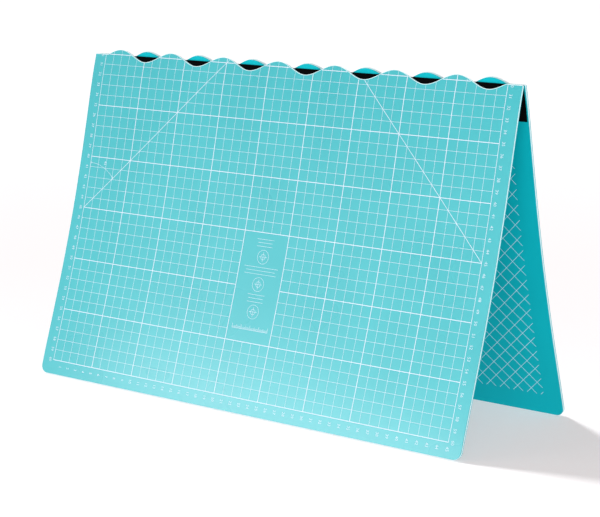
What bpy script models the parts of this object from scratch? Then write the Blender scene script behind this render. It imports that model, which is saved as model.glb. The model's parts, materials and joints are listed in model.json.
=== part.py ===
"""Folding cutting mat, standing like a tent on its two foot edges.

Two laminated sheets are joined along a wavy cut by a flexible tape on their
inner faces. The printed faces look outwards while the mat stands.

Row frame: X runs along the fold, Y from the front half to the back half,
Z is up, and the origin is on the table under the middle of the fold.
"""
import math

import bmesh
import bpy

# Plan of one half, in metres
MAT_WIDTH = 0.477
HALF_REACH = 0.3135
CORNER_RADIUS = 0.0075

# Layers of the laminate, from the printed face inwards
FACE_THICKNESS = 0.0005
CORE_THICKNESS = 0.0014
REVERSE_THICKNESS = 0.0005
BOND_LINE = 0.0003

# Wavy cut at the fold: the lobes of one half lie in the valleys of the other
WAVE_COUNT = 7
WAVE_HEIGHT = 0.00525
WAVE_LAND = 0.0159
KERF = 0.0003
POINTS_PER_WAVE = 16

# Sag of the standing sheets, which bend inwards under their own weight
SAG = 0.0055
FLAT_PAST_WAVE = 0.00675
SAG_STEEPNESS = 1.5
SAG_FACETS = 10

# Hinge tape, in two glued wings and the free strip that folds
TAPE_REACH = 0.032
TAPE_THICKNESS = 0.0003
TAPE_INSET = 0.001
FOLD_STRIP_REACH = 0.0057
FOLD_ARC_STEPS = 8

# How the mat stands
STAND_ANGLE = math.radians(31.5)
CORNER_STEPS = 6
SHARP_ANGLE = math.radians(30)

# Worked out from the sizes above
half_width = MAT_WIDTH / 2
half_angle = STAND_ANGLE / 2
wave_length = (MAT_WIDTH - 2 * WAVE_LAND) / WAVE_COUNT
flat_reach = WAVE_HEIGHT + FLAT_PAST_WAVE
tape_near = -TAPE_THICKNESS / 2
inner_face = TAPE_THICKNESS / 2 + BOND_LINE
core_near = inner_face + REVERSE_THICKNESS + BOND_LINE
face_near = core_near + CORE_THICKNESS + BOND_LINE
axis_height = HALF_REACH * math.cos(half_angle) - inner_face * math.sin(half_angle)


def clear_scene():
    """Remove the objects of the open scene, so that each run starts empty."""
    for old in list(bpy.data.objects):
        bpy.data.objects.remove(old, do_unlink=True)


def finish_material(name, colour, roughness):
    """Make a plain non-metallic material."""
    material = bpy.data.materials.new(name)
    material.use_nodes = True
    shader = material.node_tree.nodes["Principled BSDF"]
    shader.inputs["Base Color"].default_value = (*colour, 1.0)
    shader.inputs["Roughness"].default_value = roughness
    shader.inputs["Metallic"].default_value = 0.0
    material.diffuse_color = (*colour, 1.0)
    return material


def pivot(name, turn):
    """Put an empty on the fold axis that leans a half out by turn."""
    empty = bpy.data.objects.new(name, None)
    empty.location = (0.0, 0.0, axis_height)
    empty.rotation_euler.x = turn
    empty.empty_display_size = HALF_REACH / 4
    bpy.context.scene.collection.objects.link(empty)
    return empty


def place(name, bm, parent, material):
    """Turn a bmesh into a named object in its pivot's frame."""
    bmesh.ops.recalc_face_normals(bm, faces=bm.faces)
    mesh = bpy.data.meshes.new(name)
    bm.to_mesh(mesh)
    bm.free()
    mesh.materials.append(material)
    mesh.shade_smooth()
    mesh.set_sharp_from_angle(angle=SHARP_ANGLE)
    piece = bpy.data.objects.new(name, mesh)
    piece.parent = parent
    bpy.context.scene.collection.objects.link(piece)
    return piece


def sag_rows():
    """Distances from the fold line at which the sheet bends."""
    step = (HALF_REACH - flat_reach) / SAG_FACETS
    return [flat_reach + i * step for i in range(SAG_FACETS + 1)]


def smooth_sag(reach):
    """Inward sag at a distance from the fold line: none at the fold or foot."""
    share = (reach - flat_reach) / (HALF_REACH - flat_reach)
    share = min(max(share, 0.0), 1.0)
    return SAG * (4 * share * (1 - share)) ** SAG_STEEPNESS


def sag_at(reach):
    """Sag of the faceted sheet, straight between its rows."""
    rows = sag_rows()
    if reach <= rows[0]:
        return 0.0
    for low, high in zip(rows, rows[1:]):
        if reach <= high:
            share = (reach - low) / (high - low)
            return smooth_sag(low) * (1 - share) + smooth_sag(high) * share
    return 0.0


def wave_edge(lean):
    """Cut edge at the fold, from left to right. lean is 1 where the first wave is a lobe."""
    first = -half_width + WAVE_LAND
    steps = WAVE_COUNT * POINTS_PER_WAVE
    edge = [(-half_width, KERF / 2)]
    for i in range(steps + 1):
        x = first + i * wave_length / POINTS_PER_WAVE
        rise = WAVE_HEIGHT * math.sin(2 * math.pi * i / POINTS_PER_WAVE)
        edge.append((x, KERF / 2 - lean * rise))
    edge.append((half_width, KERF / 2))
    return edge


def foot_edge():
    """Foot edge with its two rounded corners, from right to left."""
    edge = []
    for side, start in ((1, 0.0), (-1, math.pi / 2)):
        x = side * (half_width - CORNER_RADIUS)
        for i in range(CORNER_STEPS + 1):
            turn = start + i * math.pi / 2 / CORNER_STEPS
            across = x + CORNER_RADIUS * math.cos(turn)
            edge.append((across, HALF_REACH - CORNER_RADIUS + CORNER_RADIUS * math.sin(turn)))
    return edge


def slab(name, top_edge, end_edge, near, thickness, lean, parent, material):
    """Make one layer: a slab that follows the sag of its half.

    top_edge runs from left to right and end_edge from right to left, both as
    points across the mat and down from the fold line. near is the distance of
    the layer's inner side from the fold axis.
    """
    facing = -lean
    bm = bmesh.new()

    def point(across, reach):
        return bm.verts.new((across, facing * (near - sag_at(reach)), -reach))

    start = max(reach for across, reach in top_edge)
    end = min(reach for across, reach in end_edge)
    upper = [point(*spot) for spot in top_edge]
    left, right = top_edge[0][0], top_edge[-1][0]
    for reach in sag_rows():
        if start < reach < end:
            row = [point(left, reach), point(right, reach)]
            bm.faces.new(upper + row[::-1])
            upper = row
    bm.faces.new(upper + [point(*spot) for spot in end_edge])

    grown = bmesh.ops.extrude_face_region(bm, geom=bm.faces[:])["geom"]
    moved = [item for item in grown if isinstance(item, bmesh.types.BMVert)]
    bmesh.ops.translate(bm, verts=moved, vec=(0.0, facing * thickness, 0.0))
    return place(name, bm, parent, material)


def laminated_half(side, lean, parent, finishes):
    """Make the three glued layers of one half."""
    layers = (
        ("reverse_face", inner_face, REVERSE_THICKNESS),
        ("core", core_near, CORE_THICKNESS),
        ("printed_face", face_near, FACE_THICKNESS),
    )
    for layer, near, thickness in layers:
        name = side + "_" + layer
        slab(name, wave_edge(lean), foot_edge(), near, thickness, lean, parent, finishes[layer])


def tape_wing(side, lean, parent, material):
    """Make the stretch of hinge tape that is glued to one half's inner face."""
    reach = half_width - TAPE_INSET
    start = FOLD_STRIP_REACH + BOND_LINE
    top = [(-reach, start), (reach, start)]
    end = [(reach, TAPE_REACH), (-reach, TAPE_REACH)]
    slab("hinge_tape_" + side, top, end, tape_near, TAPE_THICKNESS, lean, parent, material)


def tape_fold(parent, material):
    """Make the free strip of tape that bends over the fold axis."""
    radius = TAPE_THICKNESS / 2
    sine, cosine = math.sin(half_angle), math.cos(half_angle)
    profile = []
    for i in range(FOLD_ARC_STEPS + 1):
        turn = math.pi - half_angle - i * (math.pi - STAND_ANGLE) / FOLD_ARC_STEPS
        profile.append((radius * math.cos(turn), radius * math.sin(turn)))
    for distance in (radius, -radius):
        y = FOLD_STRIP_REACH * sine + distance * cosine
        z = -FOLD_STRIP_REACH * cosine + distance * sine
        profile.append((y, z))
    profile.append((0.0, -radius / sine))
    for distance in (-radius, radius):
        y = -FOLD_STRIP_REACH * sine - distance * cosine
        z = -FOLD_STRIP_REACH * cosine + distance * sine
        profile.append((y, z))

    reach = half_width - TAPE_INSET
    bm = bmesh.new()
    end = bm.faces.new([bm.verts.new((-reach, y, z)) for y, z in profile])
    grown = bmesh.ops.extrude_face_region(bm, geom=[end])["geom"]
    moved = [item for item in grown if isinstance(item, bmesh.types.BMVert)]
    bmesh.ops.translate(bm, verts=moved, vec=(2 * reach, 0.0, 0.0))
    place("hinge_tape_fold", bm, parent, material)


clear_scene()
layer_finishes = {
    "printed_face": finish_material("matt teal PVC skin", (0.10, 0.60, 0.63), 0.55),
    "core": finish_material("pale stiff core sheet", (0.80, 0.90, 0.90), 0.60),
    "reverse_face": finish_material("matt teal PVC backing", (0.05, 0.50, 0.54), 0.55),
}
tape_finish = finish_material("black cloth tape", (0.012, 0.012, 0.013), 0.75)

front_pivot = pivot("front_pivot", -half_angle)
back_pivot = pivot("back_pivot", half_angle)
fold_pivot = pivot("fold_pivot", 0.0)
laminated_half("front", 1, front_pivot, layer_finishes)
laminated_half("back", -1, back_pivot, layer_finishes)
tape_wing("front", 1, front_pivot, tape_finish)
tape_wing("back", -1, back_pivot, tape_finish)
tape_fold(fold_pivot, tape_finish)
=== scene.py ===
"""A folding cutting mat that stands as a tent on a white studio floor."""

import json
import math

import bmesh
import bpy
import numpy as np
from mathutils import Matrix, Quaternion, Vector


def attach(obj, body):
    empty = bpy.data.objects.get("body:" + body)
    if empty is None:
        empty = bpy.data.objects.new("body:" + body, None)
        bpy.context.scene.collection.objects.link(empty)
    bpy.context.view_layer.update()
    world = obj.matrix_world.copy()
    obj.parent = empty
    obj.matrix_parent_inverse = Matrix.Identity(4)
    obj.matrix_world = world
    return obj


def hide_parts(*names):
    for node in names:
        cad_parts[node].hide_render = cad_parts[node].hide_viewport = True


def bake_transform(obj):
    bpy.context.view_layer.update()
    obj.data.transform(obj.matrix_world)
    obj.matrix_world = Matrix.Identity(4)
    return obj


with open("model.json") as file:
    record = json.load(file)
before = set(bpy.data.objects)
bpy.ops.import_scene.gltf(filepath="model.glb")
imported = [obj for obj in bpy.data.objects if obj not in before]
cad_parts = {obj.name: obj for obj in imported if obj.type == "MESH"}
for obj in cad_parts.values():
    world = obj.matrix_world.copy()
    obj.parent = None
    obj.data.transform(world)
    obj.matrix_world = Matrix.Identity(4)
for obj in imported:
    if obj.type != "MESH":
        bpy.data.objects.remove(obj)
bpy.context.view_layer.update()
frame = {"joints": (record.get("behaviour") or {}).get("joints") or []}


# The core sheets.
# Each half has a stiff core of pale pressed plastic, 1.5 mm thick, that carries the two skins.
# It is die-cut: straight at the sides and foot, round at the foot corners, wavy at the fold.

MAT_WIDTH = 0.477
HALF_REACH = 0.3135
CORNER_RADIUS = 0.0075
KERF = 0.0003
WAVE_COUNT = 7
WAVE_LAND = 0.0159
WAVE_RUN = MAT_WIDTH / 2 - WAVE_LAND
WAVE_LENGTH = 2 * WAVE_RUN / WAVE_COUNT
WAVE_HEIGHT = 0.00525
HALF_ANGLE = math.radians(15.75)
FOLD_HEIGHT = frame["joints"][0]["pos_m"][2]
SAG = 0.0055
FLAT_PAST_FOLD = 0.012
SAG_REACH = HALF_REACH - FLAT_PAST_FOLD
SAG_STEEPNESS = 1.5
CORE_BOTTOM = 0.001055
CORE_THICKNESS = 0.00149
SIDES = {"front": -1.0, "back": 1.0}


def add_node(tree, kind, settings=None, feeds=None):
    """A new node with its settings, and its inputs fed by numbers, sockets or other nodes."""
    node = tree.nodes.new(kind)
    for name, value in (settings or {}).items():
        setattr(node, name, value)
    for name, value in (feeds or {}).items():
        sources = value if isinstance(value, list) else [value]
        for source in sources:
            # A node stands for its first output.
            if isinstance(source, bpy.types.Node):
                source = source.outputs[0]
            if isinstance(source, bpy.types.NodeSocket):
                tree.links.new(source, node.inputs[name])
            else:
                node.inputs[name].default_value = source
    return node


def start_tree(name, inputs, makes="NodeSocketGeometry"):
    """A Geometry Nodes tree with these named inputs and one output, and its inputs by name."""
    tree = bpy.data.node_groups.new(name, "GeometryNodeTree")
    tree.interface.new_socket("Result", in_out="OUTPUT", socket_type=makes)
    for label, value in inputs.items():
        kind = value if isinstance(value, str) else "NodeSocketFloat"
        kind = "NodeSocketInt" if isinstance(value, int) else kind
        socket = tree.interface.new_socket(label, in_out="INPUT", socket_type=kind)
        if not isinstance(value, str):
            socket.default_value = value
    return tree, tree.nodes.new("NodeGroupInput").outputs


def end_tree(tree, result):
    """The tree's output."""
    add_node(tree, "NodeGroupOutput", feeds={0: result})


# The reach at which a half starts, at each place along the fold: below zero on a lobe, which
# stands past the fold line, and above zero in a valley.
fold_edge, cut = start_tree(
    "fold_edge",
    {
        "Along": 0.0,
        "Side": -1.0,
        "Kerf": KERF,
        "Run": WAVE_RUN,
        "Length": WAVE_LENGTH,
        "Height": WAVE_HEIGHT,
    },
    makes="NodeSocketFloat",
)
run_start = add_node(fold_edge, "ShaderNodeMath", {"operation": "MULTIPLY"}, {0: cut["Run"], 1: -1.0})
on_wave = add_node(
    fold_edge, "ShaderNodeClamp", None, {"Value": cut["Along"], "Min": run_start, "Max": cut["Run"]}
)
past_start = add_node(fold_edge, "ShaderNodeMath", {"operation": "ADD"}, {0: on_wave, 1: cut["Run"]})
waves = add_node(
    fold_edge, "ShaderNodeMath", {"operation": "DIVIDE"}, {0: past_start, 1: cut["Length"]}
)
turn = add_node(fold_edge, "ShaderNodeMath", {"operation": "MULTIPLY"}, {0: waves, 1: 2 * math.pi})
swing = add_node(fold_edge, "ShaderNodeMath", {"operation": "SINE"}, {0: turn})
rise = add_node(fold_edge, "ShaderNodeMath", {"operation": "MULTIPLY"}, {0: swing, 1: cut["Height"]})
leaning = add_node(fold_edge, "ShaderNodeMath", {"operation": "MULTIPLY"}, {0: rise, 1: cut["Side"]})
cut_place = add_node(
    fold_edge, "ShaderNodeMath", {"operation": "MULTIPLY_ADD"}, {0: cut["Kerf"], 1: 0.5, 2: leaning}
)
end_tree(fold_edge, cut_place)

# From the open mat, lying in X and Y with the fold on Y = 0, to the half that stands and sags.
stand_up, lying = start_tree(
    "stand_up",
    {
        "Geometry": "NodeSocketGeometry",
        "Side": -1.0,
        "Fold Height": FOLD_HEIGHT,
        "Half Angle": HALF_ANGLE,
        "Sag": SAG,
        "Flat": FLAT_PAST_FOLD,
        "Sag Reach": SAG_REACH,
    },
)
lying_place = add_node(stand_up, "GeometryNodeInputPosition")
place = add_node(stand_up, "ShaderNodeSeparateXYZ", None, {0: lying_place})
reach = add_node(
    stand_up, "ShaderNodeMath", {"operation": "MULTIPLY"}, {0: place.outputs[1], 1: lying["Side"]}
)
past_flat = add_node(
    stand_up, "ShaderNodeMath", {"operation": "SUBTRACT"}, {0: reach, 1: lying["Flat"]}
)
share = add_node(
    stand_up,
    "ShaderNodeMath",
    {"operation": "DIVIDE", "use_clamp": True},
    {0: past_flat, 1: lying["Sag Reach"]},
)
rest = add_node(stand_up, "ShaderNodeMath", {"operation": "SUBTRACT"}, {0: 1.0, 1: share})
bow = add_node(stand_up, "ShaderNodeMath", {"operation": "MULTIPLY"}, {0: share, 1: rest})
full_bow = add_node(stand_up, "ShaderNodeMath", {"operation": "MULTIPLY"}, {0: bow, 1: 4.0})
eased = add_node(stand_up, "ShaderNodeMath", {"operation": "POWER"}, {0: full_bow, 1: SAG_STEEPNESS})
sunk = add_node(stand_up, "ShaderNodeMath", {"operation": "MULTIPLY"}, {0: eased, 1: lying["Sag"]})
offset = add_node(stand_up, "ShaderNodeMath", {"operation": "SUBTRACT"}, {0: place.outputs[2], 1: sunk})
sine = add_node(stand_up, "ShaderNodeMath", {"operation": "SINE"}, {0: lying["Half Angle"]})
cosine = add_node(stand_up, "ShaderNodeMath", {"operation": "COSINE"}, {0: lying["Half Angle"]})
out_by_reach = add_node(stand_up, "ShaderNodeMath", {"operation": "MULTIPLY"}, {0: sine, 1: reach})
outward = add_node(
    stand_up,
    "ShaderNodeMath",
    {"operation": "MULTIPLY_ADD"},
    {0: cosine, 1: offset, 2: out_by_reach},
)
depth = add_node(stand_up, "ShaderNodeMath", {"operation": "MULTIPLY"}, {0: outward, 1: lying["Side"]})
up_by_offset = add_node(
    stand_up,
    "ShaderNodeMath",
    {"operation": "MULTIPLY_ADD"},
    {0: sine, 1: offset, 2: lying["Fold Height"]},
)
drop = add_node(stand_up, "ShaderNodeMath", {"operation": "MULTIPLY"}, {0: cosine, 1: reach})
height = add_node(stand_up, "ShaderNodeMath", {"operation": "SUBTRACT"}, {0: up_by_offset, 1: drop})
stood_place = add_node(
    stand_up, "ShaderNodeCombineXYZ", None, {0: place.outputs[0], 1: depth, 2: height}
)
stood = add_node(
    stand_up, "GeometryNodeSetPosition", None, {"Geometry": lying["Geometry"], "Position": stood_place}
)
end_tree(stand_up, stood)

# One layer of a half: a grid whose last columns sweep round the foot corners, thickened and
# then stood up.
EVEN_COLUMNS = 220
CORNER_COLUMNS = 8
SHEET_ROWS = 60
sheet_layer, size = start_tree(
    "sheet_layer",
    {
        "Side": -1.0,
        "Width": MAT_WIDTH,
        "Reach": HALF_REACH,
        "Corner Radius": CORNER_RADIUS,
        "Bottom": CORE_BOTTOM,
        "Thickness": CORE_THICKNESS,
        "Fold Inset": 0.0,
        "Columns": EVEN_COLUMNS + 2 * CORNER_COLUMNS,
        "Rows": SHEET_ROWS,
        "Even Share": EVEN_COLUMNS / (EVEN_COLUMNS + 2 * CORNER_COLUMNS),
        "Material": "NodeSocketMaterial",
    },
)
across = add_node(sheet_layer, "ShaderNodeMath", {"operation": "ADD"}, {0: size["Columns"], 1: 1.0})
down = add_node(sheet_layer, "ShaderNodeMath", {"operation": "ADD"}, {0: size["Rows"], 1: 1.0})
grid = add_node(
    sheet_layer,
    "GeometryNodeMeshGrid",
    None,
    {"Size X": 2.0, "Size Y": 1.0, "Vertices X": across, "Vertices Y": down},
)
grid_place = add_node(sheet_layer, "GeometryNodeInputPosition")
spot = add_node(sheet_layer, "ShaderNodeSeparateXYZ", None, {0: grid_place})
from_middle = add_node(sheet_layer, "ShaderNodeMath", {"operation": "ABSOLUTE"}, {0: spot.outputs[0]})
which_way = add_node(sheet_layer, "ShaderNodeMath", {"operation": "SIGN"}, {0: spot.outputs[0]})
corner_share = add_node(
    sheet_layer, "ShaderNodeMath", {"operation": "SUBTRACT"}, {0: 1.0, 1: size["Even Share"]}
)
into_corner = add_node(
    sheet_layer, "ShaderNodeMath", {"operation": "SUBTRACT"}, {0: from_middle, 1: size["Even Share"]}
)
swept = add_node(
    sheet_layer,
    "ShaderNodeMath",
    {"operation": "DIVIDE", "use_clamp": True},
    {0: into_corner, 1: corner_share},
)
sweep = add_node(sheet_layer, "ShaderNodeMath", {"operation": "MULTIPLY"}, {0: swept, 1: math.pi / 2})
sweep_out = add_node(sheet_layer, "ShaderNodeMath", {"operation": "SINE"}, {0: sweep})
sweep_up = add_node(sheet_layer, "ShaderNodeMath", {"operation": "COSINE"}, {0: sweep})
even = add_node(
    sheet_layer,
    "ShaderNodeMath",
    {"operation": "DIVIDE", "use_clamp": True},
    {0: from_middle, 1: size["Even Share"]},
)
half_width = add_node(
    sheet_layer, "ShaderNodeMath", {"operation": "MULTIPLY"}, {0: size["Width"], 1: 0.5}
)
even_reach = add_node(
    sheet_layer, "ShaderNodeMath", {"operation": "SUBTRACT"}, {0: half_width, 1: size["Corner Radius"]}
)
even_part = add_node(sheet_layer, "ShaderNodeMath", {"operation": "MULTIPLY"}, {0: even, 1: even_reach})
to_side = add_node(
    sheet_layer,
    "ShaderNodeMath",
    {"operation": "MULTIPLY_ADD"},
    {0: size["Corner Radius"], 1: sweep_out, 2: even_part},
)
along = add_node(sheet_layer, "ShaderNodeMath", {"operation": "MULTIPLY"}, {0: which_way, 1: to_side})
corner_top = add_node(
    sheet_layer,
    "ShaderNodeMath",
    {"operation": "SUBTRACT"},
    {0: size["Reach"], 1: size["Corner Radius"]},
)
foot = add_node(
    sheet_layer,
    "ShaderNodeMath",
    {"operation": "MULTIPLY_ADD"},
    {0: size["Corner Radius"], 1: sweep_up, 2: corner_top},
)
cut_edge = add_node(
    sheet_layer, "GeometryNodeGroup", {"node_tree": fold_edge}, {"Along": along, "Side": size["Side"]}
)
edge = add_node(
    sheet_layer, "ShaderNodeMath", {"operation": "ADD"}, {0: cut_edge, 1: size["Fold Inset"]}
)
past_fold = add_node(
    sheet_layer,
    "ShaderNodeMath",
    {"operation": "MULTIPLY_ADD"},
    {0: spot.outputs[1], 1: size["Side"], 2: 0.5},
)
sheet_run = add_node(sheet_layer, "ShaderNodeMath", {"operation": "SUBTRACT"}, {0: foot, 1: edge})
sheet_reach = add_node(
    sheet_layer, "ShaderNodeMath", {"operation": "MULTIPLY_ADD"}, {0: past_fold, 1: sheet_run, 2: edge}
)
sheet_y = add_node(
    sheet_layer, "ShaderNodeMath", {"operation": "MULTIPLY"}, {0: sheet_reach, 1: size["Side"]}
)
sheet_place = add_node(
    sheet_layer, "ShaderNodeCombineXYZ", None, {0: along, 1: sheet_y, 2: size["Bottom"]}
)
flat_sheet = add_node(
    sheet_layer, "GeometryNodeSetPosition", None, {"Geometry": grid, "Position": sheet_place}
)
raised = add_node(
    sheet_layer,
    "GeometryNodeExtrudeMesh",
    {"mode": "FACES"},
    {
        "Mesh": flat_sheet,
        "Offset": (0.0, 0.0, 1.0),
        "Offset Scale": size["Thickness"],
        "Individual": False,
    },
)
underside = add_node(sheet_layer, "GeometryNodeFlipFaces", None, {"Mesh": flat_sheet})
both_faces = add_node(sheet_layer, "GeometryNodeJoinGeometry", None, {0: [raised, underside]})
closed_sheet = add_node(
    sheet_layer, "GeometryNodeMergeByDistance", None, {"Geometry": both_faces, "Distance": 1e-6}
)
standing = add_node(
    sheet_layer,
    "GeometryNodeGroup",
    {"node_tree": stand_up},
    {"Geometry": closed_sheet, "Side": size["Side"]},
)
whole = add_node(sheet_layer, "GeometryNodeRealizeInstances", None, {0: standing})
coloured = add_node(
    sheet_layer, "GeometryNodeSetMaterial", None, {"Geometry": whole, "Material": size["Material"]}
)
end_tree(sheet_layer, coloured)


def build_piece(name, tree, values, drawing=None, crease=30.0):
    """The tree's result at these values as a plain mesh, shaded smooth up to the crease angle."""
    piece = bpy.data.objects.new(name, drawing or bpy.data.meshes.new(name))
    bpy.context.scene.collection.objects.link(piece)
    builder = piece.modifiers.new("build", "NODES")
    builder.node_group = tree
    for socket in tree.interface.items_tree:
        if socket.in_out == "INPUT" and socket.name in values:
            builder[socket.identifier] = values[socket.name]
    bpy.context.view_layer.update()
    finished = piece.evaluated_get(bpy.context.evaluated_depsgraph_get())
    mesh = bpy.data.meshes.new_from_object(finished)
    piece.modifiers.remove(builder)
    piece.data = mesh
    mesh.name = name
    mesh.shade_smooth()
    mesh.set_sharp_from_angle(angle=math.radians(crease))
    return piece


def shade(code):
    """A hex sRGB colour as linear values."""
    parts = [int(code[i : i + 2], 16) / 255 for i in (1, 3, 5)]
    return (*(p / 12.92 if p <= 0.04045 else ((p + 0.055) / 1.055) ** 2.4 for p in parts), 1.0)


# Pressed filled plastic: chalky, a very pale cyan that the skins lend it, with the fine marks
# across its thickness that the cutting die drags into its edge.
pressed_core = bpy.data.materials.new("pressed_core")
pressed_core.use_nodes = True
core_nodes = pressed_core.node_tree
core_shader = core_nodes.nodes["Principled BSDF"]
core_shader.inputs["Roughness"].default_value = 0.6
core_shader.inputs["IOR"].default_value = 1.53
core_place = add_node(core_nodes, "ShaderNodeTexCoord")
DRAG_MARK = 0.0006
core_stretch = add_node(
    core_nodes,
    "ShaderNodeMapping",
    None,
    {"Vector": core_place.outputs["Object"], "Scale": (1 / DRAG_MARK, 0.2 / DRAG_MARK, 1 / DRAG_MARK)},
)
core_marks = add_node(
    core_nodes, "ShaderNodeTexNoise", None, {"Vector": core_stretch, "Scale": 1.0, "Detail": 2.0}
)
core_tone = add_node(core_nodes, "ShaderNodeValToRGB", None, {"Fac": core_marks})
core_tone.color_ramp.elements[0].position = 0.3
core_tone.color_ramp.elements[0].color = shade("#CDEEF3")
core_tone.color_ramp.elements[1].position = 0.7
core_tone.color_ramp.elements[1].color = shade("#DAF6F9")
core_nodes.links.new(core_tone.outputs["Color"], core_shader.inputs["Base Color"])
core_bump = add_node(
    core_nodes, "ShaderNodeBump", None, {"Height": core_marks, "Strength": 0.2, "Distance": 0.0001}
)
core_nodes.links.new(core_bump.outputs["Normal"], core_shader.inputs["Normal"])

for half, side in SIDES.items():
    core = build_piece(f"{half}_core_sheet", sheet_layer, {"Side": side, "Material": pressed_core})
    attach(core, f"{half}_half")
    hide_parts(f"{half}_core")


# The printed skins.
# A self-healing skin of soft matt PVC is laminated on the working side of each core.
# Its teal is through-coloured, and rolling leaves it a fine pebbled surface.

PRINTED_THICKNESS = 0.0009
PRINTED_BOTTOM = 0.00255
PRINTED_TOP = PRINTED_BOTTOM + PRINTED_THICKNESS
LIP_WIDTH = 0.0006


def rolled_pvc(name, deep, pale, roughness, shine):
    """Soft calendered PVC: a teal with slow changes of tone, and pebbles about 1 mm across.

    The real pebbles are near 0.3 mm, too fine to show, so they are drawn three times as coarse.
    """
    pebble = 0.001
    cloud = 0.07
    gloss_change = 0.03
    skin = bpy.data.materials.new(name)
    skin.use_nodes = True
    nodes = skin.node_tree
    shader = nodes.nodes["Principled BSDF"]
    shader.inputs["IOR"].default_value = 1.53
    shader.inputs["Specular IOR Level"].default_value = shine
    where = add_node(nodes, "ShaderNodeTexCoord")
    clouds = add_node(
        nodes,
        "ShaderNodeTexNoise",
        None,
        {"Vector": where.outputs["Object"], "Scale": 1 / cloud, "Detail": 2.0},
    )
    tone = add_node(nodes, "ShaderNodeValToRGB", None, {"Fac": clouds})
    tone.color_ramp.elements[0].position = 0.3
    tone.color_ramp.elements[0].color = shade(deep)
    tone.color_ramp.elements[1].position = 0.7
    tone.color_ramp.elements[1].color = shade(pale)
    nodes.links.new(tone.outputs["Color"], shader.inputs["Base Color"])
    gloss = add_node(
        nodes,
        "ShaderNodeMapRange",
        None,
        {"Value": clouds, "To Min": roughness - gloss_change, "To Max": roughness + gloss_change},
    )
    nodes.links.new(gloss.outputs["Result"], shader.inputs["Roughness"])
    pebbles = add_node(
        nodes,
        "ShaderNodeTexVoronoi",
        {"feature": "SMOOTH_F1"},
        {"Vector": where.outputs["Object"], "Scale": 1 / pebble},
    )
    bumps = add_node(
        nodes,
        "ShaderNodeBump",
        {"invert": True},
        {"Height": pebbles.outputs["Distance"], "Strength": 0.12, "Distance": 0.0001},
    )
    nodes.links.new(bumps.outputs["Normal"], shader.inputs["Normal"])
    return skin


printed_pvc = rolled_pvc("printed_pvc", "#3FB6BE", "#45BBC3", 0.28, 0.5)

for half, side in SIDES.items():
    printed_skin = build_piece(
        f"{half}_printed_skin",
        sheet_layer,
        {
            "Side": side,
            "Bottom": PRINTED_BOTTOM,
            "Thickness": PRINTED_THICKNESS,
            "Fold Inset": LIP_WIDTH,
            "Material": printed_pvc,
        },
    )
    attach(printed_skin, f"{half}_half")
    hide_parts(f"{half}_printed_face")


# The reverse skins.
# The backing that lies on the table is the same PVC in a deeper, bluer teal.
# It is smoother than the working side and is laminated to the core in the same press.

REVERSE_BOTTOM = 0.00045
REVERSE_THICKNESS = 0.0006

reverse_pvc = rolled_pvc("reverse_pvc", "#00B0BC", "#01B6C2", 0.65, 0.1)

for half, side in SIDES.items():
    reverse_skin = build_piece(
        f"{half}_reverse_skin",
        sheet_layer,
        {
            "Side": side,
            "Bottom": REVERSE_BOTTOM,
            "Thickness": REVERSE_THICKNESS,
            "Material": reverse_pvc,
        },
    )
    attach(reverse_skin, f"{half}_half")
    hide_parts(f"{half}_reverse_face")


# The ruled print.
# A centimetre grid, its bold lines, two 45 degree lines and a panel of gauges are
# screen-printed on the working side in a pale ink that stands a few hundredths proud.

SQUARE = 0.010
GRID_COLUMNS = 45
GRID_ROWS = 30
BOLD_EVERY = 5
FINE_LINE = 0.00024
MIDDLE_LINE = 0.0004
BOLD_LINE = 0.0006
INK_HEIGHT = 0.00006
LINE_STEP = 0.008
EDGE_MARGIN = LIP_WIDTH + 0.0003
LIFT = 0.000005
PANEL_COLUMNS = (20, 25)
PANEL_ROWS = (15, 25)
DIAGONAL_ROW = 15

# A drawing of plain lines on the open mat becomes strips of ink of one width on a standing half.
ink_strips, ink = start_tree(
    "ink_strips",
    {
        "Geometry": "NodeSocketGeometry",
        "Side": -1.0,
        "Line Width": FINE_LINE,
        "Ink Height": INK_HEIGHT,
        "Material": "NodeSocketMaterial",
    },
)
strokes = add_node(ink_strips, "GeometryNodeMeshToCurve", None, {0: ink["Geometry"]})
upright = add_node(ink_strips, "GeometryNodeSetCurveNormal", {"mode": "Z_UP"}, {"Curve": strokes})
nib = add_node(
    ink_strips,
    "GeometryNodeCurvePrimitiveQuadrilateral",
    {"mode": "RECTANGLE"},
    {"Width": ink["Line Width"], "Height": ink["Ink Height"]},
)
strips = add_node(
    ink_strips,
    "GeometryNodeCurveToMesh",
    None,
    {"Curve": upright, "Profile Curve": nib, "Fill Caps": True},
)
ink_standing = add_node(
    ink_strips, "GeometryNodeGroup", {"node_tree": stand_up}, {"Geometry": strips, "Side": ink["Side"]}
)
all_strips = add_node(ink_strips, "GeometryNodeRealizeInstances", None, {0: ink_standing})
inked_strips = add_node(
    ink_strips, "GeometryNodeSetMaterial", None, {"Geometry": all_strips, "Material": ink["Material"]}
)
end_tree(ink_strips, inked_strips)


def printing_ink(name, thin, thick):
    """Screen ink: pale, with a dull surface, laid a little thick and thin by the mesh."""
    screen_mesh = 0.0015
    film = bpy.data.materials.new(name)
    film.use_nodes = True
    nodes = film.node_tree
    shader = nodes.nodes["Principled BSDF"]
    shader.inputs["Roughness"].default_value = 0.55
    shader.inputs["IOR"].default_value = 1.5
    where = add_node(nodes, "ShaderNodeTexCoord")
    cover = add_node(
        nodes,
        "ShaderNodeTexNoise",
        None,
        {"Vector": where.outputs["Object"], "Scale": 1 / screen_mesh},
    )
    tone = add_node(nodes, "ShaderNodeValToRGB", None, {"Fac": cover})
    tone.color_ramp.elements[0].position = 0.3
    tone.color_ramp.elements[0].color = shade(thin)
    tone.color_ramp.elements[1].position = 0.65
    tone.color_ramp.elements[1].color = shade(thick)
    nodes.links.new(tone.outputs["Color"], shader.inputs["Base Color"])
    return film


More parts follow.
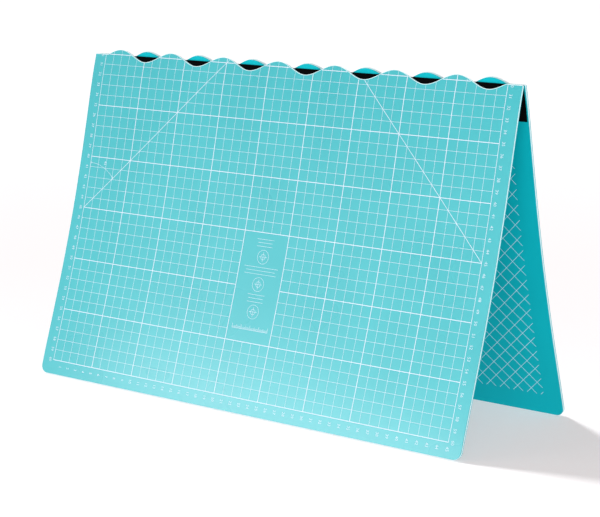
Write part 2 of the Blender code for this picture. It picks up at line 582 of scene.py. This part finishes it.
# The ink of the working side is a lilac white.
screen_ink = printing_ink("screen_ink", "#DAE5F4", "#E6EEF9")


class Drawing:
    """Plain lines on the open mat: x along the fold, reach away from it on one half, and a lift."""

    def __init__(self, side, base):
        self.side = side
        self.base = base
        self.points = []
        self.edges = []

    def path(self, points, lift=0, closed=False):
        """A line through these (x, reach) points."""
        first = len(self.points)
        self.points += [(x, self.side * r, self.base + lift * LIFT) for x, r in points]
        self.edges += [(i, i + 1) for i in range(first, len(self.points) - 1)]
        if closed:
            self.edges.append((len(self.points) - 1, first))

    def line(self, start, end, lift=0):
        """A straight line, in steps short enough to follow the sagging sheet."""
        steps = max(1, math.ceil(math.dist(start, end) / LINE_STEP))
        run, fall = end[0] - start[0], end[1] - start[1]
        shares = [i / steps for i in range(steps + 1)]
        self.path([(start[0] + run * s, start[1] + fall * s) for s in shares], lift)

    def ring(self, centre, radius, lift=0, sides=28):
        """A full circle."""
        turns = [2 * math.pi * i / sides for i in range(sides)]
        rim = [(centre[0] + radius * math.cos(t), centre[1] + radius * math.sin(t)) for t in turns]
        self.path(rim, lift, closed=True)

    def mesh(self, name):
        """The lines as a mesh of edges."""
        made = bpy.data.meshes.new(name)
        made.from_pydata(self.points, self.edges, [])
        return made


def column_x(column):
    """Where a grid column lies along the fold."""
    return (column - GRID_COLUMNS / 2) * SQUARE


def cut_reach(x, side):
    """The reach of the wavy cut at x on one half."""
    inside = min(max(x, -WAVE_RUN), WAVE_RUN)
    return KERF / 2 + side * WAVE_HEIGHT * math.sin(2 * math.pi * (inside + WAVE_RUN) / WAVE_LENGTH)


def draw_grid(side, fine, middle, bold):
    """The centimetre grid of one half, open at the panel of the front half."""
    has_panel = side < 0
    grid_end = GRID_ROWS * SQUARE
    for column in range(GRID_COLUMNS + 1):
        x = column_x(column)
        drawing = bold if column % BOLD_EVERY == 0 else fine
        if column in (0, GRID_COLUMNS):
            drawing = middle
        top = cut_reach(x, side) + EDGE_MARGIN
        if has_panel and PANEL_COLUMNS[0] < column < PANEL_COLUMNS[1]:
            drawing.line((x, top), (x, PANEL_ROWS[0] * SQUARE))
            drawing.line((x, PANEL_ROWS[1] * SQUARE), (x, grid_end))
        else:
            drawing.line((x, top), (x, grid_end))
    for row in range(1, GRID_ROWS + 1):
        r = row * SQUARE
        drawing = bold if row % BOLD_EVERY == 0 else fine
        left, right = column_x(0), column_x(GRID_COLUMNS)
        if has_panel and PANEL_ROWS[0] < row < PANEL_ROWS[1]:
            drawing.line((left, r), (column_x(PANEL_COLUMNS[0]), r), lift=1)
            drawing.line((column_x(PANEL_COLUMNS[1]), r), (right, r), lift=1)
        else:
            drawing.line((left, r), (right, r), lift=1)


def draw_fold_row(side, bold):
    """The grid row on the fold line, which only the lobes of a half carry."""
    lobe = WAVE_LENGTH / 2
    inset = 0.0022
    for wave in range(WAVE_COUNT):
        start = -WAVE_RUN + wave * WAVE_LENGTH + (0 if side < 0 else lobe)
        bold.line((start + inset, 0), (start + lobe - inset, 0), lift=1)


def draw_diagonals(side, middle):
    """The two 45 degree lines, from the side columns over the fold; they cross on the back half."""
    search_step = 0.0001
    end = DIAGONAL_ROW * SQUARE
    for turn_way in (-1, 1):
        slant = side * turn_way
        at_fold = turn_way * column_x(GRID_COLUMNS) - turn_way * end
        start = -WAVE_HEIGHT
        while start < cut_reach(at_fold - slant * start, side) + EDGE_MARGIN:
            start += search_step
        middle.line((at_fold - slant * start, start), (at_fold - slant * end, end), lift=2)


def draw_angle_mark(fine):
    """The arc with two arrowheads that marks the left 45 degree line."""
    corner = (column_x(0), DIAGONAL_ROW * SQUARE)
    radius = 4.4 * SQUARE
    arc_steps = 12
    head_length = 0.0018
    head_spread = 0.45
    angles = [math.radians(45 + 45 * i / arc_steps) for i in range(arc_steps + 1)]
    arc = [(corner[0] + radius * math.cos(t), corner[1] - radius * math.sin(t)) for t in angles]
    fine.path(arc, lift=3)
    for tip, neighbour in ((arc[0], arc[1]), (arc[-1], arc[-2])):
        back = math.atan2(neighbour[1] - tip[1], neighbour[0] - tip[0])
        for way in (back - head_spread, back + head_spread):
            wing = (tip[0] + head_length * math.cos(way), tip[1] + head_length * math.sin(way))
            fine.line(tip, wing, lift=4)


def draw_panel(fine):
    """The panel of gauges: rings with cross hairs, sets of plain hairlines and a short scale."""
    middle = column_x(sum(PANEL_COLUMNS) / 2)
    top = PANEL_ROWS[0] * SQUARE

    # How far each set's hairlines lie below the panel's top, and half of its longest line.
    hair_sets = (
        ((0.0061, 0.0092, 0.0125), 0.0095),
        ((0.0315, 0.0346, 0.0378), 0.0190),
        ((0.0564, 0.0597, 0.0630), 0.0095),
    )
    hair_shares = (1.0, 0.86, 0.93)
    for reaches, longest in hair_sets:
        for r, share in zip(reaches, hair_shares):
            fine.line((middle - longest * share, top + r), (middle + longest * share, top + r))

    ring_reaches = (0.022, 0.047, 0.072)
    ring_radii = (0.0063, 0.0025)
    arm = 0.0045
    for r in ring_reaches:
        for radius in ring_radii:
            fine.ring((middle, top + r), radius)
        fine.line((middle - arm, top + r), (middle + arm, top + r), lift=2)
        fine.line((middle, top + r - arm), (middle, top + r + arm), lift=2)

    scale_row = top + 0.0885
    scale_half = 0.020
    tick_gap = 0.001
    long_tick, half_tick, short_tick = 0.004, 0.003, 0.002
    fine.line((middle - scale_half, scale_row), (middle + scale_half, scale_row))
    for tick in range(round(2 * scale_half / tick_gap) + 1):
        x = middle - scale_half + tick * tick_gap
        length = long_tick if tick % 10 == 0 else half_tick if tick % 5 == 0 else short_tick
        fine.line((x, scale_row), (x, scale_row - length), lift=1)


for half, side in SIDES.items():
    fine = Drawing(side, PRINTED_TOP)
    middle = Drawing(side, PRINTED_TOP + 2 * LIFT)
    bold = Drawing(side, PRINTED_TOP + 2 * LIFT)
    draw_grid(side, fine, middle, bold)
    draw_fold_row(side, bold)
    draw_diagonals(side, middle)
    if half == "front":
        draw_angle_mark(fine)
        draw_panel(fine)
    drawings = ((fine, "fine", FINE_LINE), (middle, "middle", MIDDLE_LINE), (bold, "bold", BOLD_LINE))
    for drawn, label, width in drawings:
        lines = build_piece(
            f"{half}_{label}_lines",
            ink_strips,
            {"Side": side, "Line Width": width, "Material": screen_ink},
            drawn.mesh("lines"),
        )
        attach(lines, f"{half}_half")


# The lips of the wavy cut.
# The printed skin stops short of the wavy cut, and a hair of the pale core stands bare beside
# it: bare core, and also a painted highlight along the cut edge.

LIP_HEIGHT = PRINTED_THICKNESS - 0.00004
LIP_STEPS = 40 * WAVE_COUNT

for half, side in SIDES.items():
    cut_line = Drawing(side, PRINTED_BOTTOM + LIP_HEIGHT / 2)
    wavy = [-WAVE_RUN + 2 * WAVE_RUN * i / LIP_STEPS for i in range(LIP_STEPS + 1)]
    stations = [-MAT_WIDTH / 2, *wavy, MAT_WIDTH / 2]
    cut_line.path([(x, cut_reach(x, side) + LIP_WIDTH / 2) for x in stations])
    # A strip of the pale core colour: bare core and a painted highlight along the cut edge.
    lip = build_piece(
        f"{half}_core_lip_highlight",
        ink_strips,
        {"Side": side, "Line Width": LIP_WIDTH, "Ink Height": LIP_HEIGHT, "Material": pressed_core},
        cut_line.mesh("core_lip_highlight"),
    )
    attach(lip, f"{half}_half")


# The printed numbers.
# The grid is numbered in centimetres beside every line, in the same ink: 1 to 45 along
# each outer edge and 1 to 60 down both sides, turned to be read from the right.

DIGIT_HEIGHT = 0.0029
DIGIT_SHARE = 0.7
STROKE_TRIM = 0.00005
SIDE_NUMBER_GAP = 0.0042
FOOT_NUMBER_GAP = 0.0057
FOLD_DIGIT_REACH = 0.0017
ANGLE_LABEL_COLUMN = 1.9
ANGLE_LABEL_ROW = 10.6

# A drawing made of closed flat shapes is only stood up.
ink_shapes, flat_ink = start_tree(
    "ink_shapes", {"Geometry": "NodeSocketGeometry", "Side": -1.0, "Material": "NodeSocketMaterial"}
)
shapes_standing = add_node(
    ink_shapes,
    "GeometryNodeGroup",
    {"node_tree": stand_up},
    {"Geometry": flat_ink["Geometry"], "Side": flat_ink["Side"]},
)
all_shapes = add_node(ink_shapes, "GeometryNodeRealizeInstances", None, {0: shapes_standing})
inked_shapes = add_node(
    ink_shapes,
    "GeometryNodeSetMaterial",
    None,
    {"Geometry": all_shapes, "Material": flat_ink["Material"]},
)
end_tree(ink_shapes, inked_shapes)

letter_cache = {}


def letters(text):
    """The corners and faces of a few plain characters, centred, and one ink film thick."""
    if text not in letter_cache:
        curve = bpy.data.curves.new("letters", "FONT")
        curve.body = text
        curve.resolution_u = 2
        curve.size = DIGIT_HEIGHT / DIGIT_SHARE
        curve.extrude = INK_HEIGHT / 2
        curve.offset = -STROKE_TRIM
        holder = bpy.data.objects.new("letters", curve)
        bpy.context.scene.collection.objects.link(holder)
        bpy.context.view_layer.update()
        shaped = holder.evaluated_get(bpy.context.evaluated_depsgraph_get())
        mesh = bpy.data.meshes.new_from_object(shaped)
        bpy.data.objects.remove(holder)
        shell = bmesh.new()
        shell.from_mesh(mesh)
        bmesh.ops.remove_doubles(shell, verts=shell.verts, dist=1e-7)
        corners = np.array([v.co for v in shell.verts])
        faces = [[v.index for v in f.verts] for f in shell.faces]
        shell.free()
        corners[:, :2] -= (corners[:, :2].min(0) + corners[:, :2].max(0)) / 2
        letter_cache[text] = corners, faces
    return letter_cache[text]


def write_numbers(name, side, texts):
    """These texts, each centred on its (x, reach), with their tops towards +X."""
    corners, faces, count = [], [], 0
    for text, x, r in texts:
        shape, polygons = letters(text)
        turned = np.column_stack([x + shape[:, 1], side * r - shape[:, 0], PRINTED_TOP + shape[:, 2]])
        corners.append(turned)
        faces += [[count + i for i in polygon] for polygon in polygons]
        count += len(turned)
    mesh = bpy.data.meshes.new("numbers")
    mesh.from_pydata(np.vstack(corners).tolist(), [], faces)
    return build_piece(name, ink_shapes, {"Side": side, "Material": screen_ink}, mesh)


# The cut divides the 30 on the fold line: its 3 is on the back half and its 0 on the front.
for half, side in SIDES.items():
    number_columns = (column_x(0) - SIDE_NUMBER_GAP, column_x(GRID_COLUMNS) + SIDE_NUMBER_GAP)
    texts = []
    for column in range(1, GRID_COLUMNS + 1):
        texts.append((str(column), column_x(column), GRID_ROWS * SQUARE + FOOT_NUMBER_GAP))
    for row in range(1, GRID_ROWS + (side < 0)):
        number = GRID_ROWS - int(side) * row
        for x in number_columns:
            texts.append((str(number), x, row * SQUARE))
    for x in number_columns:
        texts.append(("0" if side < 0 else "3", x, FOLD_DIGIT_REACH))
    if half == "front":
        texts.append(("45°", column_x(ANGLE_LABEL_COLUMN), ANGLE_LABEL_ROW * SQUARE))
    numbers = write_numbers(f"{half}_numbers", side, texts)
    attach(numbers, f"{half}_half")


# The lattice on the reverse.
# A lattice of 45 degree lines, 10 mm apart, is printed on each backing in a bluer white ink,
# inside a margin, with its loose ends left open.

# Along a line of the first set x + reach stays the same, and along one of the second reach - x.
LATTICE_PITCH = SQUARE * math.sqrt(2)
LATTICE_HALF = 0.2208
LATTICE_TOP = 0.0520
LATTICE_FOOT = 0.2943
LATTICE_SUM = 0.4982
LATTICE_DIFFERENCE = 0.0662
LATTICE_LINE = 0.00038

lattice_ink = printing_ink("lattice_ink", "#C1E5F4", "#CCEEF9")


def draw_lattice(side, lines):
    """Both sets of slanting lines, each cut off at the edges of the printed field."""
    for mirror, through in ((1, LATTICE_SUM), (-1, LATTICE_DIFFERENCE)):
        first = math.ceil((LATTICE_TOP - LATTICE_HALF - through) / LATTICE_PITCH)
        last = math.floor((LATTICE_FOOT + LATTICE_HALF - through) / LATTICE_PITCH)
        for step in range(first, last + 1):
            total = through + step * LATTICE_PITCH
            start = max(LATTICE_TOP, total - LATTICE_HALF)
            end = min(LATTICE_FOOT, total + LATTICE_HALF)
            lines.line((mirror * (total - start), start), (mirror * (total - end), end), lift=mirror)


for half, side in SIDES.items():
    lattice = Drawing(side, REVERSE_BOTTOM)
    draw_lattice(side, lattice)
    net = build_piece(
        f"{half}_lattice",
        ink_strips,
        {"Side": side, "Line Width": LATTICE_LINE, "Material": lattice_ink},
        lattice.mesh("lattice"),
    )
    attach(net, f"{half}_half")


# The hinge tape.
# One strip of black woven cloth tape joins the halves. It is glued along the whole fold,
# 32 mm down each backing, and bends where it crosses the fold line.

# The faces lie at these distances from the tape's middle: the inner one, and the outer one
# where the tape is loose and where it is glued. The bend is the radius of its middle.
TAPE_REACH = 0.032
TAPE_WIDTH = MAT_WIDTH - 0.002
TAPE_FACE = 0.00015
TAPE_FREE_FACE = 0.00028
TAPE_GLUED_FACE = 0.00042
TAPE_BEND = 0.00016
LOOSE_UNTIL = 0.001
GLUED_FROM = 0.003
TAPE_COLUMNS = 60
TAPE_CREASE = 40.0
WING_STEPS = 16
WING_CROWDING = 1.5
BEND_STEPS = 10


def sag_at(r):
    """How far a half has sunk at this reach."""
    share = min(max((r - FLAT_PAST_FOLD) / SAG_REACH, 0.0), 1.0)
    return SAG * (4 * share * (1 - share)) ** SAG_STEEPNESS


def tape_stations():
    """From front to back: the middle point, the outward direction and the outer side's offset."""
    sine, cosine = math.sin(HALF_ANGLE), math.cos(HALF_ANGLE)
    found = []
    for side in (-1, 1):
        wing = []
        for i in range(WING_STEPS + 1):
            r = TAPE_REACH * (i / WING_STEPS) ** WING_CROWDING
            share = min(max((r - LOOSE_UNTIL) / (GLUED_FROM - LOOSE_UNTIL), 0.0), 1.0)
            glued = share * share * (3 - 2 * share)
            outer = TAPE_FREE_FACE + (TAPE_GLUED_FACE - TAPE_FREE_FACE) * glued
            out = TAPE_BEND * (1 - glued) - sag_at(r)
            middle = (side * (sine * r + cosine * out), FOLD_HEIGHT - cosine * r + sine * out)
            wing.append((middle, (side * cosine, sine), outer))
        if side < 0:
            found += wing[::-1]
            for i in range(1, BEND_STEPS):
                angle = HALF_ANGLE + (math.pi - 2 * HALF_ANGLE) * i / BEND_STEPS
                way = (-math.cos(angle), math.sin(angle))
                crest = (TAPE_BEND * way[0], FOLD_HEIGHT + TAPE_BEND * way[1])
                found.append((crest, way, TAPE_FREE_FACE))
        else:
            found += wing
    return found


def build_tape():
    """The tape as one closed strip, with a UV map in metres along and across it."""
    stations = tape_stations()
    runs = [0.0]
    for before, after in zip(stations, stations[1:]):
        runs.append(runs[-1] + math.dist(before[0], after[0]))
    count = len(stations)
    corners, faces = [], []
    for column in range(TAPE_COLUMNS + 1):
        x = TAPE_WIDTH * (column / TAPE_COLUMNS - 0.5)
        for middle, way, outer in stations:
            corners.append((x, middle[0] + outer * way[0], middle[1] + outer * way[1]))
        for middle, way, _ in stations:
            corners.append((x, middle[0] - TAPE_FACE * way[0], middle[1] - TAPE_FACE * way[1]))
    around = list(range(count)) + list(range(2 * count - 1, count - 1, -1))
    for column in range(TAPE_COLUMNS):
        near, far = column * 2 * count, (column + 1) * 2 * count
        for i, here in enumerate(around):
            after = around[(i + 1) % len(around)]
            faces.append((near + here, far + here, far + after, near + after))
    for column, flip in ((0, False), (TAPE_COLUMNS, True)):
        base = column * 2 * count
        for i in range(count - 1):
            cap = (base + i, base + i + 1, base + count + i + 1, base + count + i)
            faces.append(cap[::-1] if flip else cap)
    mesh = bpy.data.meshes.new("hinge_tape")
    mesh.from_pydata(corners, [], faces)
    layer = mesh.uv_layers.new(name="UVMap")
    for loop in mesh.loops:
        corner = loop.vertex_index
        layer.data[loop.index].uv = (corners[corner][0], runs[corner % count])
    mesh.shade_smooth()
    mesh.set_sharp_from_angle(angle=math.radians(TAPE_CREASE))
    return mesh


# Black cotton tape, plain woven: dull, with a painted highlight of faint grey on the thread
# tops and painted shade between them. The threads are 0.5 mm apart and too fine to show
# here, so they are drawn at 1 mm.
woven_tape = bpy.data.materials.new("woven_tape")
woven_tape.use_nodes = True
tape_nodes = woven_tape.node_tree
tape_shader = tape_nodes.nodes["Principled BSDF"]
tape_shader.inputs["Roughness"].default_value = 0.95
tape_shader.inputs["Specular IOR Level"].default_value = 0.05
THREAD = 0.001
# A wave texture of scale 1 has a band every 2 pi / 20.
WAVE_NODE_PERIOD = 2 * math.pi / 20
tape_map = add_node(tape_nodes, "ShaderNodeUVMap", {"uv_map": "UVMap"})
warp = add_node(
    tape_nodes,
    "ShaderNodeTexWave",
    {"bands_direction": "X"},
    {"Vector": tape_map, "Scale": WAVE_NODE_PERIOD / THREAD, "Distortion": 0.0},
)
weft = add_node(
    tape_nodes,
    "ShaderNodeTexWave",
    {"bands_direction": "Y"},
    {"Vector": tape_map, "Scale": WAVE_NODE_PERIOD / THREAD, "Distortion": 0.0},
)
over_under = add_node(
    tape_nodes, "ShaderNodeTexChecker", None, {"Vector": tape_map, "Scale": 1 / THREAD}
)
thread_height = add_node(
    tape_nodes,
    "ShaderNodeMix",
    {"data_type": "FLOAT"},
    {0: over_under.outputs["Fac"], 2: warp.outputs["Fac"], 3: weft.outputs["Fac"]},
)
# Painted highlight and shade: the raised thread tops lighter, the hollows darker.
thread_painted_light = add_node(tape_nodes, "ShaderNodeValToRGB", None, {"Fac": thread_height})
thread_painted_light.color_ramp.elements[0].color = shade("#010102")
thread_painted_light.color_ramp.elements[1].color = shade("#060607")
tape_nodes.links.new(thread_painted_light.outputs["Color"], tape_shader.inputs["Base Color"])
thread_bump = add_node(
    tape_nodes, "ShaderNodeBump", None, {"Height": thread_height, "Strength": 0.5, "Distance": 0.0002}
)
tape_nodes.links.new(thread_bump.outputs["Normal"], tape_shader.inputs["Normal"])

tape = bpy.data.objects.new("hinge_tape", build_tape())
bpy.context.scene.collection.objects.link(tape)
tape.data.materials.append(woven_tape)
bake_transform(tape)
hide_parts("hinge_tape_front", "hinge_tape_fold", "hinge_tape_back")


# The studio.
# The mat stands on a glowing white floor, under a high light on the left that draws the
# shadow. Of two soft boxes, the left brightens the printed face and the right the inside.

FLOOR_HALF = 30.0
FLOOR_DROP = 0.0002
NEAR_GLOW = 0.465
FAR_GLOW = 0.55
GLOW_CHANGE = (0.7, 1.8)
AMBIENT = 0.22
KEY_STRENGTH = 2.3
KEY_ANGLE = math.radians(8.0)
KEY_FROM = (-0.231, 0.0485, 0.3016)
FRONT_PLACE = (-0.46, -0.86, 0.20)
FRONT_SIZE = (0.6, 0.20)
FRONT_POWER = 2.8
RIGHT_PLACE = (1.00, -0.85, 0.24)
RIGHT_SIZE = (1.5, 0.45)
RIGHT_POWER = 9.0
LAMP_AIM = (0.0, -0.05, 0.10)

floor_mesh = bpy.data.meshes.new("floor")
floor_mesh.from_pydata(
    [
        (-FLOOR_HALF, -FLOOR_HALF, -FLOOR_DROP),
        (FLOOR_HALF, -FLOOR_HALF, -FLOOR_DROP),
        (FLOOR_HALF, FLOOR_HALF, -FLOOR_DROP),
        (-FLOOR_HALF, FLOOR_HALF, -FLOOR_DROP),
    ],
    [],
    [(0, 1, 2, 3)],
)
floor = bpy.data.objects.new("floor", floor_mesh)
bpy.context.scene.collection.objects.link(floor)

# Opal white board, lit from below as well as from above, so that it also lights the mat. It
# glows a little more away from the mat, where no light comes back from the sheets.
white_board = bpy.data.materials.new("white_board")
white_board.use_nodes = True
board_nodes = white_board.node_tree
board_nodes.nodes.remove(board_nodes.nodes["Principled BSDF"])
board = add_node(board_nodes, "ShaderNodeBsdfDiffuse", None, {"Color": shade("#D4D4D5")})
board_place = add_node(board_nodes, "ShaderNodeTexCoord")
board_way = add_node(
    board_nodes, "ShaderNodeVectorMath", {"operation": "LENGTH"}, {0: board_place.outputs["Object"]}
)
board_strength = add_node(
    board_nodes,
    "ShaderNodeMapRange",
    None,
    {
        "Value": board_way.outputs["Value"],
        "From Min": GLOW_CHANGE[0],
        "From Max": GLOW_CHANGE[1],
        "To Min": NEAR_GLOW,
        "To Max": FAR_GLOW,
    },
)
board_glow = add_node(
    board_nodes, "ShaderNodeEmission", None, {"Color": shade("#FFF4F4"), "Strength": board_strength}
)
board_sum = add_node(board_nodes, "ShaderNodeAddShader", None, {0: board, 1: board_glow})
board_nodes.links.new(board_sum.outputs[0], board_nodes.nodes["Material Output"].inputs["Surface"])
floor_mesh.materials.append(white_board)

studio = bpy.data.worlds.new("studio")
studio.use_nodes = True
bpy.context.scene.world = studio
studio_nodes = studio.node_tree
studio_white = shade("#FFFFFF")
around_light = studio_nodes.nodes["Background"]
around_light.inputs["Color"].default_value = studio_white
around_light.inputs["Strength"].default_value = AMBIENT
backdrop = add_node(
    studio_nodes, "ShaderNodeBackground", None, {"Color": studio_white, "Strength": 1.0}
)
studio_rays = add_node(studio_nodes, "ShaderNodeLightPath")
studio_seen = add_node(
    studio_nodes,
    "ShaderNodeMath",
    {"operation": "MAXIMUM"},
    {0: studio_rays.outputs["Is Camera Ray"], 1: studio_rays.outputs["Is Glossy Ray"]},
)
studio_shown = add_node(
    studio_nodes,
    "ShaderNodeMath",
    {"operation": "MAXIMUM"},
    {0: studio_seen, 1: studio_rays.outputs["Is Transmission Ray"]},
)
studio_mix = add_node(
    studio_nodes, "ShaderNodeMixShader", None, {0: studio_shown, 1: around_light, 2: backdrop}
)
studio_nodes.links.new(studio_mix.outputs[0], studio_nodes.nodes["World Output"].inputs["Surface"])

key = bpy.data.lights.new("key_light", "SUN")
key.energy = KEY_STRENGTH
key.angle = KEY_ANGLE
key_object = bpy.data.objects.new("key_light", key)
key_object.rotation_mode = "QUATERNION"
key_object.rotation_quaternion = Vector(KEY_FROM).to_track_quat("Z", "Y")
bpy.context.scene.collection.objects.link(key_object)

for lamp_name, lamp_place, lamp_size, lamp_power in (
    ("front_light", FRONT_PLACE, FRONT_SIZE, FRONT_POWER),
    ("right_light", RIGHT_PLACE, RIGHT_SIZE, RIGHT_POWER),
):
    lamp = bpy.data.lights.new(lamp_name, "AREA")
    lamp.shape = "RECTANGLE"
    lamp.size, lamp.size_y = lamp_size
    lamp.energy = lamp_power
    lamp_object = bpy.data.objects.new(lamp_name, lamp)
    lamp_object.location = lamp_place
    lamp_object.rotation_mode = "QUATERNION"
    lamp_object.rotation_quaternion = (Vector(lamp_place) - Vector(LAMP_AIM)).to_track_quat("Z", "Y")
    lamp_object.visible_camera = False
    bpy.context.scene.collection.objects.link(lamp_object)


# The camera.
# It stands to the right of the mat, a little above its top, with a long lens.

CAMERA_PLACE = (1.02178, -1.34996, 0.45871)
CAMERA_AIM = (0.078892, -0.094452, 0.151547)
CAMERA_ROLL = math.radians(0.305)
LENS = 112.874
SENSOR_WIDTH = 36.0

camera = bpy.data.cameras.new("camera")
camera.sensor_fit = "HORIZONTAL"
camera.sensor_width = SENSOR_WIDTH
camera.lens = LENS
camera.clip_start = 0.05
camera.clip_end = 100.0
camera_object = bpy.data.objects.new("camera", camera)
camera_object.location = CAMERA_PLACE
camera_object.rotation_mode = "QUATERNION"
looking = (Vector(CAMERA_AIM) - Vector(CAMERA_PLACE)).to_track_quat("-Z", "Y")
camera_object.rotation_quaternion = looking @ Quaternion((0.0, 0.0, 1.0), CAMERA_ROLL)
bpy.context.scene.collection.objects.link(camera_object)
bpy.context.scene.camera = camera_object
bpy.context.scene.view_settings.view_transform = "Standard"
